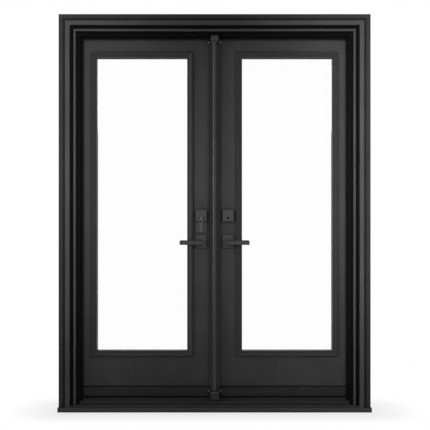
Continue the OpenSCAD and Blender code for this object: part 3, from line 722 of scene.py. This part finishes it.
@dataclass(frozen=True)
class TimberFinish(Finish):
    """Planed softwood along the height of the leaf."""

    late_wood: Colour = (0.36, 0.22, 0.11)
    ring_turns: float = 420.0
    ring_rise: float = 13.0
    ring_bend: float = 14.0

    def shader(self, graph: ShaderGraph) -> Shade:
        """Timber: long year rings bent by noise, and fine pores.

        Args:
            graph: The graph to fill.

        Returns:
            The surface.
        """
        place = graph.place()
        across, depth, height = graph.split(place)
        bend = self.ring_bend * graph.drawn(place, (9.0, 9.0, 1.1))
        ring = graph.math("SINE", self.ring_turns * (across + depth) + self.ring_rise * height + bend)
        pores = graph.drawn(place, (900.0, 900.0, 14.0), 2.0)
        colour = graph.mix(graph.ramp(ring, -0.2, 1.0) * 0.7, rgba(self.colour), rgba(self.late_wood))
        colour = graph.mix(graph.ramp(pores, 0.55, 0.8) * 0.35, colour, rgba(self.late_wood, 0.6))
        return graph.principled({
            "Base Color": colour,
            "Roughness": 0.62 + pores.swing(0.2),
            "Specular IOR Level": 0.3,
            "Normal": graph.bump(pores, 0.2, 0.0003),
        })


@dataclass(frozen=True)
class GlassFinish(Finish):
    """Clear float glass with faint smears, which lets light through to the floor."""

    shadow_tint: Colour = (0.97, 0.975, 0.97)

    def shader(self, graph: ShaderGraph) -> Shade:
        """Glass: a clear refracting pane with faint smears, plain to shadow rays.

        Args:
            graph: The graph to fill.

        Returns:
            The surface.
        """
        smear = graph.ramp(graph.drawn(graph.place(), (5.0, 5.0, 2.0), 6.0), 0.5, 0.85)
        pane = graph.principled({
            "Base Color": rgba(self.colour),
            "Roughness": 0.015 * smear,
            "IOR": 1.5,
            "Transmission Weight": 1.0,
        })
        clear = graph.node("ShaderNodeBsdfTransparent", None, {"Color": rgba(self.shadow_tint)})
        shadow = graph.node("ShaderNodeLightPath", out="Is Shadow Ray")
        return graph.blend(shadow, pane, clear)


class FinishBook:
    """Holds the materials of the slots, and closer ones where the pieces of a slot differ.

    The groove_lift is the height of the leaf's rolled groove above its drip rail.
    """

    closer: Dict[str, str] = {
        "left_key_plug": "plug_black",
        "right_key_plug": "plug_black",
        "key": "key_steel",
        "key_ring": "ring_steel",
        "spare_key": "ring_steel",
        "post_screws": "clamp_steel",
        "post_head_bracket": "head_bracket_lit_paint",
        "post_sill_bracket": "foot_bracket_shaded_paint",
    }
    groove_lift: float = 0.006

    def __init__(self) -> None:
        """Make every material."""
        collar_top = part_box("post_sill_bracket")[1][2]
        groove_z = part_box("left_drip_rail")[1][2] + self.groove_lift
        finishes: Dict[str, Finish] = {
            "casing_paint": FramePaint((0.078, 0.078, 0.080)),
            "jamb_paint": FramePaint((0.086, 0.086, 0.088)),
            "sill_metal": SillFinish((0.056, 0.056, 0.058)),
            "cap_plastic": RubberFinish((0.058, 0.058, 0.059), roughness=0.6),
            "seal_rubber": RubberFinish((0.010, 0.010, 0.0105)),
            "post_paint": PostPaint((0.034, 0.034, 0.036), roughness=0.20, specular=0.3),
            # Painted light: the head bracket's paint is lighter and the foot bracket's darker than the
            # post's, as light falls on them; the foot bracket also has a painted highlight on its shoulder.
            "head_bracket_lit_paint": PostPaint((0.046, 0.046, 0.048), roughness=0.30, specular=0.3),
            "foot_bracket_shaded_paint": CollarPaint(
                (0.025, 0.025, 0.026), roughness=0.30, specular=0.2, top=collar_top
            ),
            "clamp_steel": MetalFinish((0.30, 0.30, 0.31), roughness=0.32),
            "hinge_metal": MetalFinish((0.30, 0.30, 0.31), roughness=0.34),
            # The leaf and the mouldings carry painted shade in their grooves and corners.
            "leaf_paint": LeafPaint(
                (0.060, 0.060, 0.062), streaks=0.2, crease_shade=0.65, crease_reach=0.022, groove_z=groove_z
            ),
            "core_wood": TimberFinish((0.52, 0.38, 0.23)),
            "lite_moulding": MouldingPaint(
                (0.036, 0.036, 0.037), roughness=0.45, specular=0.2, streaks=0.15, crease_shade=0.5
            ),
            "glass": GlassFinish((0.99, 0.99, 0.99)),
            "spacer_plastic": RubberFinish((0.03, 0.03, 0.032), roughness=0.5),
            # Painted highlight: strong edge marks light up the drip rail's top lip.
            "rail_metal": PaintFinish((0.030, 0.030, 0.031), roughness=0.45, wear_and_edge_shading=0.95),
            # Painted shade: the roses and plates are darkened round the lever and nearby parts.
            "lock_metal": MetalFinish(
                (0.076, 0.076, 0.077), roughness=0.42, metallic=0.12, specular=0.2, crease_reach=0.044
            ),
            # Painted shade: the levers' dark edge colour stands for shade on their rounded edges.
            "lever_metal": MetalFinish(
                (0.060, 0.060, 0.060), metallic=0.15, specular=0.2, brush=(900.0, 20.0, 20.0),
                wear_and_edge_shading=1.2, wear_and_shading_reach=0.006, worn_and_edge_shading=(0.008, 0.008, 0.008),
            ),
            "works_steel": MetalFinish((0.42, 0.42, 0.43), roughness=0.3),
            "plug_black": MetalFinish(
                (0.008, 0.008, 0.008), roughness=0.5, metallic=0.0, specular=0.08, wear_and_edge_shading=0.1
            ),
            "key_steel": MetalFinish((0.60, 0.60, 0.61), roughness=0.3),
            "ring_steel": MetalFinish((0.24, 0.24, 0.245), roughness=0.35),
        }
        self.materials = {slot: finish.material(slot) for slot, finish in finishes.items()}

    def dress(self, thing: bpy.types.Object, name: str) -> None:
        """Give an object the material of this name."""
        thing.data.materials.clear()
        thing.data.materials.append(self.materials[name])

    def dress_solids(self) -> None:
        """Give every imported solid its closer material, or else the material of its slot."""
        for entry in frame["record"]["subparts"]:
            finish = self.closer.get(entry["node"], entry["material_slot"])
            self.dress(frame["nodes"][entry["node"]], finish)
            LOG.info("dressed %s in %s", entry["node"], finish)


class SurfacePiece:
    """Collects surface grids and makes them one piece of the door."""

    sharp_degrees: float = 40.0
    seam_gap: float = 1e-6
    sliver_length: float = 1e-7

    def __init__(self, name: str) -> None:
        """Start an empty piece.

        Args:
            name: The name of the piece.
        """
        self.name = name
        self.points: List[np.ndarray] = []
        self.quads: List[np.ndarray] = []
        self.count = 0

    def add(self, grid: np.ndarray, wrap: Wrap) -> None:
        """Add a grid of points as quads, joined end to end where it wraps.

        Args:
            grid: Points as an array of rows, columns and X, Y, Z.
            wrap: Whether rows and columns close on themselves.
        """
        wrap_rows, wrap_columns = wrap.value
        rows, columns = grid.shape[:2]
        index = self.count + np.arange(rows * columns).reshape(rows, columns)
        index = np.vstack([index, index[:1]]) if wrap_rows else index
        index = np.hstack([index, index[:, :1]]) if wrap_columns else index
        corners = (index[:-1, :-1], index[1:, :-1], index[1:, 1:], index[:-1, 1:])
        self.quads.append(np.stack(corners, axis=-1).reshape(-1, 4))
        self.points.append(grid.reshape(-1, 3))
        self.count += rows * columns

    def finish(self, book: FinishBook, body: str, slot: str) -> None:
        """Make the mesh, close its seams, turn its faces out and fix it to a body.

        Args:
            book: The finishes.
            body: The body that the piece rides on.
            slot: The material slot of the piece.
        """
        mesh = bpy.data.meshes.new(self.name)
        mesh.from_pydata(np.concatenate(self.points).tolist(), [], np.concatenate(self.quads).tolist())
        work = bmesh.new()
        work.from_mesh(mesh)
        bmesh.ops.remove_doubles(work, verts=work.verts, dist=self.seam_gap)
        bmesh.ops.dissolve_degenerate(work, edges=work.edges, dist=self.sliver_length)
        bmesh.ops.recalc_face_normals(work, faces=work.faces)
        work.to_mesh(mesh)
        work.free()
        mesh.shade_smooth()
        mesh.set_sharp_from_angle(angle=math.radians(self.sharp_degrees))
        piece = bpy.data.objects.new(self.name, mesh)
        bpy.context.scene.collection.objects.link(piece)
        book.dress(piece, slot)
        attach(piece, body)
        LOG.info("built %s on %s with %d faces", self.name, body, len(mesh.polygons))


def axis_frame(axis: Point) -> np.ndarray:
    """Three unit rows, two across an axis and the axis itself.

    Args:
        axis: A direction along X or Y.

    Returns:
        A 3 by 3 array.
    """
    out = np.array(axis, float)
    up = np.array([0.0, 0.0, 1.0])
    return np.stack([np.cross(up, out), up, out])


def turned(profile: np.ndarray, centre: Point, axis: Point, steps: int) -> np.ndarray:
    """A profile of radius and height carried round an axis.

    A point is the centre, plus the radius along a turning direction, plus the height along the axis.

    Args:
        profile: Radius and height of each row.
        centre: The origin of the profile.
        axis: The axis along X or Y.
        steps: Points round the axis.

    Returns:
        The grid of points, which wraps round its columns.
    """
    side, up, out = axis_frame(axis)
    angle = np.linspace(0.0, 2.0 * np.pi, steps, endpoint=False)
    around = np.cos(angle)[:, None] * side + np.sin(angle)[:, None] * up
    radius, height = profile[:, 0], profile[:, 1]
    return np.array(centre) + radius[:, None, None] * around + height[:, None, None] * out


@dataclass
class ScrewHeads:
    """Low domed screw heads with a cross recess, sunk into what they hold."""

    radius: float = 0.0034
    rise: float = 0.0007
    sink: float = 0.0012
    cross: float = 0.0006
    cross_depth: float = 0.0009
    cross_reach: float = 0.66
    rings: int = 14
    steps: int = 32

    def head(self, centre: Point, axis: Point) -> np.ndarray:
        """One head as a height over a disc.

        The height is the rise times one less the square of the radius, less a cross-shaped dip
        that ends at two thirds of the radius; the last two rows turn down and close the foot.

        Args:
            centre: The middle of the head on the surface.
            axis: The way the head faces.

        Returns:
            The grid of points, which wraps round its columns.
        """
        side, up, out = axis_frame(axis)
        share = np.linspace(0.0, 1.0, self.rings)[:, None]
        angle = np.linspace(0.0, 2.0 * np.pi, self.steps, endpoint=False)[None, :]
        along = self.radius * share * np.cos(angle)
        over = self.radius * share * np.sin(angle)
        arm = np.minimum(np.abs(along), np.abs(over))
        dip = np.clip((self.cross - arm) / (0.5 * self.cross), 0.0, 1.0) * (share < self.cross_reach)
        height = self.rise * (1.0 - share**2) - self.cross_depth * dip
        foot = np.full_like(along[:1], -self.sink)
        along = np.vstack([along, along[-1:], 0.0 * foot])
        over = np.vstack([over, over[-1:], 0.0 * foot])
        height = np.vstack([height, foot, foot])
        flat = along[..., None] * side + over[..., None] * up
        return np.array(centre) + flat + height[..., None] * out

    def put(self, piece: SurfacePiece, centre: Point, axis: Point) -> None:
        """Add one head to a piece."""
        piece.add(self.head(centre, axis), Wrap.COLUMNS)


@dataclass
class Hinges:
    """The screws of the hinge plates, which show when a leaf stands open."""

    hinge_h: float = 0.100
    plate_w: float = 0.028
    leaf_x: float = 0.759
    frame_x: float = 0.762
    rows: Tuple[float, ...] = (-0.038, -0.013, 0.013, 0.038)
    lean: float = 0.006
    screw_r: float = 0.0042
    screw_rise: float = 0.0004

    def places(self, node: str) -> List[Span]:
        """Depth and height of each screw on one side.

        Args:
            node: The solid with the plates.

        Returns:
            Pairs of Y and Z.
        """
        low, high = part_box(node)
        first = low.z + self.hinge_h / 2
        last = high.z - self.hinge_h / 2
        middle = low.y + self.plate_w / 2
        mids = (first, (first + last) / 2, last)
        return [
            (middle + self.lean * (-1) ** number, z + row)
            for z in mids
            for number, row in enumerate(self.rows)
        ]

    def build(self, book: FinishBook) -> None:
        """Add the screws of the frame halves and of the leaf halves."""
        heads = ScrewHeads(radius=self.screw_r, rise=self.screw_rise)
        fixed = SurfacePiece("hinge_frame_screws")
        for side in Side:
            moving = SurfacePiece(side.node("hinge_screws"))
            for y, z in self.places(side.node("hinge_leaves")):
                heads.put(moving, (side.sign * self.leaf_x, y, z), side.to_hinges)
                heads.put(fixed, (side.sign * self.frame_x, y, z), side.to_post)
            moving.finish(book, side.node("leaf"), "hinge_metal")
        fixed.finish(book, "frame", "hinge_metal")


@dataclass
class LockSet:
    """The small pieces of the locks: collars, plate screws, faceplate and strike screws."""

    collar_in: float = 0.0102
    collar_out: float = 0.0150
    collar_rise: float = 0.0026
    collar_points: int = 9
    collar_steps: int = 48
    rose_screw: float = 0.029
    plate_screw: float = 0.021
    face_screw: float = 0.0215
    small_r: float = 0.0030
    small_rise: float = 0.0004
    strike_x: float = 0.012

    def collar(self, centre: Point, axis: Point) -> np.ndarray:
        """A half-round ring: radius and height go round half an ellipse between the two radii.

        Args:
            centre: The middle of the ring on the rose.
            axis: The way the ring faces.

        Returns:
            The grid of points, which wraps both ways.
        """
        turn = np.linspace(0.0, np.pi, self.collar_points)
        middle = (self.collar_in + self.collar_out) / 2
        half = (self.collar_out - self.collar_in) / 2
        ring = np.stack([middle + half * np.cos(turn), self.collar_rise * np.sin(turn)], axis=1)
        return turned(ring, centre, axis, self.collar_steps)

    def build(self, book: FinishBook, side: Side) -> None:
        """Add the small pieces of one leaf's lock.

        Args:
            book: The finishes.
            side: The side of the door.
        """
        rose_low, rose_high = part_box(side.node("roses"))
        latch_low, latch_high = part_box(side.node("latch_case"))
        turn_low, turn_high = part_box(side.node("turn_plate"))
        axis_x = (rose_low.x + rose_high.x) / 2
        rose_z = (rose_low.z + rose_high.z) / 2
        lever_z = (latch_low.z + latch_high.z) / 2
        bolt_z = (turn_low.z + turn_high.z) / 2
        leaf = side.node("leaf")

        collars = SurfacePiece(side.node("rose_collars"))
        for face, y in ((Face.OUTSIDE, rose_low.y), (Face.INSIDE, rose_high.y)):
            collars.add(self.collar((axis_x, y, lever_z), face.axis), Wrap.BOTH)
        collars.finish(book, leaf, "lever_metal")

        heads = ScrewHeads()
        screws = SurfacePiece(side.node("plate_screws"))
        for step in (-1.0, 1.0):
            on_rose = (axis_x, rose_high.y, rose_z + step * self.rose_screw)
            on_turn = (axis_x + step * self.plate_screw, turn_high.y, bolt_z)
            heads.put(screws, on_rose, Face.INSIDE.axis)
            heads.put(screws, on_turn, Face.INSIDE.axis)
        screws.finish(book, leaf, "lock_metal")

        edge = SurfacePiece(side.node("faceplate_screws"))
        strike = SurfacePiece(side.node("strike_screws"))
        small = ScrewHeads(radius=self.small_r, rise=self.small_rise)
        for name in ("latch_case", "bolt_case"):
            low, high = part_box(side.node(name))
            face_x = low.x if side is Side.RIGHT else high.x
            middle = (low.y + high.y) / 2
            height = (low.z + high.z) / 2
            for step in (-1.0, 1.0):
                z = height + step * self.face_screw
                small.put(edge, (face_x, middle, z), side.to_post)
                small.put(strike, (side.sign * self.strike_x, middle, z), side.to_hinges)
        edge.finish(book, leaf, "works_steel")
        strike.finish(book, "frame", "works_steel")


@dataclass
class Glazing:
    """The sealing beads round the panes and the pins of the inner mouldings."""

    moulding_w: float = 0.034
    bead: float = 0.0008
    bead_points: int = 7
    pin_r: float = 0.0013
    pin_rise: float = 0.0004
    pin_in: float = 0.0075
    pin_from_sides: float = 0.09
    pin_from_ends: float = 0.11
    columns: int = 4
    rows: int = 8

    def ring(self, centre: Span, half: Span, plane: float, face: Face) -> np.ndarray:
        """A rounded bead carried round a rectangle with mitred corners.

        Each corner is the centre plus the half sizes less the bead's reach, so a profile point moves
        along the corner's diagonal; the bead is a quarter circle against moulding and pane.

        Args:
            centre: X and Z of the middle of the pane.
            half: Half of the width and height between the mouldings.
            plane: Y of the pane's face.
            face: The face of the leaf.

        Returns:
            The grid of points, which wraps both ways.
        """
        turn = np.linspace(0.0, np.pi / 2, self.bead_points)
        reach = np.concatenate([[0.0], self.bead * np.cos(turn)])
        rise = np.concatenate([[0.0], self.bead * np.sin(turn)])
        right = np.array([1.0, 1.0, -1.0, -1.0])
        up = np.array([1.0, -1.0, -1.0, 1.0])
        x = centre[0] + right[None, :] * (half[0] - reach[:, None])
        z = centre[1] + up[None, :] * (half[1] - reach[:, None])
        y = np.broadcast_to(plane + face.value * rise[:, None], x.shape)
        return np.stack([x, y, z], axis=-1)

    def build(self, book: FinishBook, side: Side) -> None:
        """Add the beads and the pins of one leaf.

        Args:
            book: The finishes.
            side: The side of the door.
        """
        low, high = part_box(side.node("outer_lite"))
        glass_low, glass_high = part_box(side.node("glass"))
        inner_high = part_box(side.node("inner_lite"))[1]
        centre = ((low.x + high.x) / 2, (low.z + high.z) / 2)
        half = ((high.x - low.x) / 2 - self.moulding_w, (high.z - low.z) / 2 - self.moulding_w)
        beads = SurfacePiece(side.node("glazing_beads"))
        beads.add(self.ring(centre, half, glass_low.y, Face.OUTSIDE), Wrap.BOTH)
        beads.add(self.ring(centre, half, glass_high.y, Face.INSIDE), Wrap.BOTH)
        beads.finish(book, side.node("leaf"), "seal_rubber")

        heads = ScrewHeads(radius=self.pin_r, rise=self.pin_rise, cross_depth=0.0)
        pins = SurfacePiece(side.node("moulding_pins"))
        xs = np.linspace(low.x + self.pin_from_sides, high.x - self.pin_from_sides, self.columns)
        zs = np.linspace(low.z + self.pin_from_ends, high.z - self.pin_from_ends, self.rows)
        places = [(x, z) for x in xs for z in (low.z + self.pin_in, high.z - self.pin_in)]
        places += [(x, z) for z in zs for x in (low.x + self.pin_in, high.x - self.pin_in)]
        for x, z in places:
            heads.put(pins, (x, inner_high.y, z), Face.INSIDE.axis)
        pins.finish(book, side.node("leaf"), "lite_moulding")


@dataclass
class SillTreads:
    """Fine grip ribs on the two treads of the sill."""

    lower: Section = (-0.028, 0.0335, 0.006, 0.0369)
    upper: Section = (0.017, 0.05046, 0.060, 0.05444)
    lower_x: Span = (-0.775, 0.775)
    upper_x: Span = (0.034, 0.760)
    pitch: float = 0.0048
    rise: float = 0.0005
    sink: float = 0.0008
    samples: int = 8

    def ribs(self, section: Section, ends: Span) -> np.ndarray:
        """A ribbed strip along X.

        Its height over the sloping tread is half the rise times one less the cosine of the way
        across, one wave to the pitch; the loop closes under the tread and each end closes on its middle.

        Args:
            section: Y and Z of the front, then Y and Z of the back.
            ends: X of the two ends.

        Returns:
            The grid of points, whose rows wrap.
        """
        y0, z0, y1, z1 = section
        count = round((y1 - y0) / self.pitch)
        share = np.linspace(0.0, 1.0, count * self.samples + 1)
        y = y0 + (y1 - y0) * share
        slope = z0 + (z1 - z0) * share
        z = slope + self.rise * 0.5 * (1.0 - np.cos(2.0 * np.pi * count * share))
        loop_y = np.concatenate([y, [y1, y0]])
        loop_z = np.concatenate([z, [z1 - self.sink, z0 - self.sink]])
        loop = np.stack([loop_y, loop_z], axis=-1)
        middle = np.broadcast_to(loop.mean(axis=0), loop.shape)
        columns = [(ends[0], middle), (ends[0], loop), (ends[1], loop), (ends[1], middle)]
        return np.stack([np.insert(points, 0, x, axis=1) for x, points in columns], axis=1)

    def build(self, book: FinishBook) -> None:
        """Add the ribs of both treads, the upper ones left and right of the post."""
        piece = SurfacePiece("sill_ribs")
        piece.add(self.ribs(self.lower, self.lower_x), Wrap.ROWS)
        piece.add(self.ribs(self.upper, self.upper_x), Wrap.ROWS)
        piece.add(self.ribs(self.upper, (-self.upper_x[1], -self.upper_x[0])), Wrap.ROWS)
        piece.finish(book, "frame", "sill_metal")


@dataclass(frozen=True)
class Softbox:
    """A soft area lamp that looks at a point."""

    name: str
    place: Point
    aim: Point
    size: Span
    power: float
    spread: float = 180.0
    mirrored: bool = False

    def build(self) -> None:
        """Add the lamp."""
        lamp = bpy.data.lights.new(self.name, "AREA")
        lamp.shape = "RECTANGLE"
        lamp.size, lamp.size_y = self.size
        lamp.energy = self.power
        lamp.spread = math.radians(self.spread)
        thing = bpy.data.objects.new(self.name, lamp)
        thing.visible_camera = False
        thing.visible_glossy = self.mirrored
        thing.visible_transmission = False
        thing.location = self.place
        look = Vector(self.aim) - Vector(self.place)
        thing.rotation_euler = look.to_track_quat("-Z", "Y").to_euler()
        bpy.context.scene.collection.objects.link(thing)
        LOG.info("lamp %s", self.name)


@dataclass
class Studio:
    """The pale floor, the white surroundings, the lamps and the camera.

    The footprint is the door's half width, middle depth and half depth; the floor fades to white past it.
    """

    ambient: float = 0.15
    floor_half: float = 30.0
    floor_pale: float = 0.86
    floor_glow: float = 0.78
    fade: Span = (0.01, 0.34)
    footprint: Point = (0.86, 0.06, 0.10)
    camera_place: Point = (0.0022, -5.634, 1.1066)
    lens: float = 83.65
    sensor: float = 36.0
    lamps: Tuple[Softbox, ...] = (
        Softbox("left_softbox", (-0.92, -1.5, 1.78), (-0.90, 0.0, 1.54), (0.4, 2.1), 4.4, 70.0),
        Softbox("right_softbox", (0.90, -1.5, 1.70), (0.90, 0.0, 1.46), (0.4, 2.1), 6.0, 70.0),
        Softbox("left_fill", (-1.4, -1.6, 1.75), (0.0, 0.0, 1.26), (0.2, 0.2), 0.72, 50.0),
        Softbox("right_fill", (1.4, -1.6, 1.75), (0.0, 0.0, 1.26), (0.2, 0.2), 0.54, 50.0),
        Softbox("left_strip", (-3.0, -1.7, 1.55), (0.04, 0.0, 1.36), (0.30, 2.5), 0.9, 20.0, mirrored=True),
        Softbox("rear_softbox", (0.0, 3.2, 2.6), (0.0, 0.1, 1.1), (2.4, 1.6), 60.0, mirrored=True),
    )

    @staticmethod
    def seen(graph: ShaderGraph) -> Shade:
        """A mask that is 1 for camera, glossy and transmission rays."""
        path = graph.node("ShaderNodeLightPath", out="Is Camera Ray")
        shiny = graph.math("MAXIMUM", path.out("Is Glossy Ray"), path.out("Is Transmission Ray"))
        return graph.math("MAXIMUM", path, shiny)

    def build_world(self) -> None:
        """White to the eye, and dimmer as a light."""
        world = bpy.data.worlds.new("studio_white")
        world.use_nodes = True
        graph = ShaderGraph(world.node_tree)
        strength = self.seen(graph).above(self.ambient)
        back = graph.node("ShaderNodeBackground", None, {"Color": rgba(WHITE), "Strength": strength})
        graph.show(back, "ShaderNodeOutputWorld")
        bpy.context.scene.world = world

    def build_floor(self) -> None:
        """A pale floor that keeps the shadow near the door and fades to white."""
        far = self.floor_half
        corners = [(-far, -far, 0.0), (far, -far, 0.0), (far, far, 0.0), (-far, far, 0.0)]
        mesh = bpy.data.meshes.new("floor")
        mesh.from_pydata(corners, [], [(0, 1, 2, 3)])
        floor = bpy.data.objects.new("floor", mesh)
        bpy.context.scene.collection.objects.link(floor)
        made = bpy.data.materials.new("floor_pale")
        made.use_nodes = True
        graph = ShaderGraph(made.node_tree)
        across, depth, _ = graph.split(graph.place())
        half_x, mid_y, half_y = self.footprint
        past_x = graph.math("MAXIMUM", abs(across) - half_x, 0.0)
        past_y = graph.math("MAXIMUM", abs(depth - mid_y) - half_y, 0.0)
        away = graph.math("SQRT", past_x * past_x + past_y * past_y)
        glow = graph.ramp(away, *self.fade).above(self.floor_glow)
        matt = graph.node("ShaderNodeBsdfDiffuse", None, {"Color": rgba(WHITE, self.floor_pale)})
        white = graph.node("ShaderNodeEmission", None, {"Color": rgba(WHITE), "Strength": 1.0})
        graph.show(graph.blend(glow * self.seen(graph), matt, white))
        floor.data.materials.append(made)

    def build_camera(self) -> None:
        """A level camera in front of the door."""
        lens = bpy.data.cameras.new("camera")
        lens.lens = self.lens
        lens.sensor_width = self.sensor
        camera = bpy.data.objects.new("camera", lens)
        camera.location = self.camera_place
        camera.rotation_euler = (math.pi / 2, 0.0, 0.0)
        bpy.context.scene.collection.objects.link(camera)
        bpy.context.scene.camera = camera

    def build(self) -> None:
        """Set up the whole studio."""
        bpy.context.scene.view_settings.view_transform = "Standard"
        self.build_camera()
        self.build_world()
        self.build_floor()
        for lamp in self.lamps:
            lamp.build()


def main() -> None:
    """Build the studio, dress the solids and add the small pieces."""
    logging.basicConfig(level=logging.INFO, format="%(message)s")
    Studio().build()
    book = FinishBook()
    book.dress_solids()
    SillTreads().build(book)
    Hinges().build(book)
    for side in Side:
        Glazing().build(book, side)
        LockSet().build(book, side)


if __name__ == "__main__":
    main()
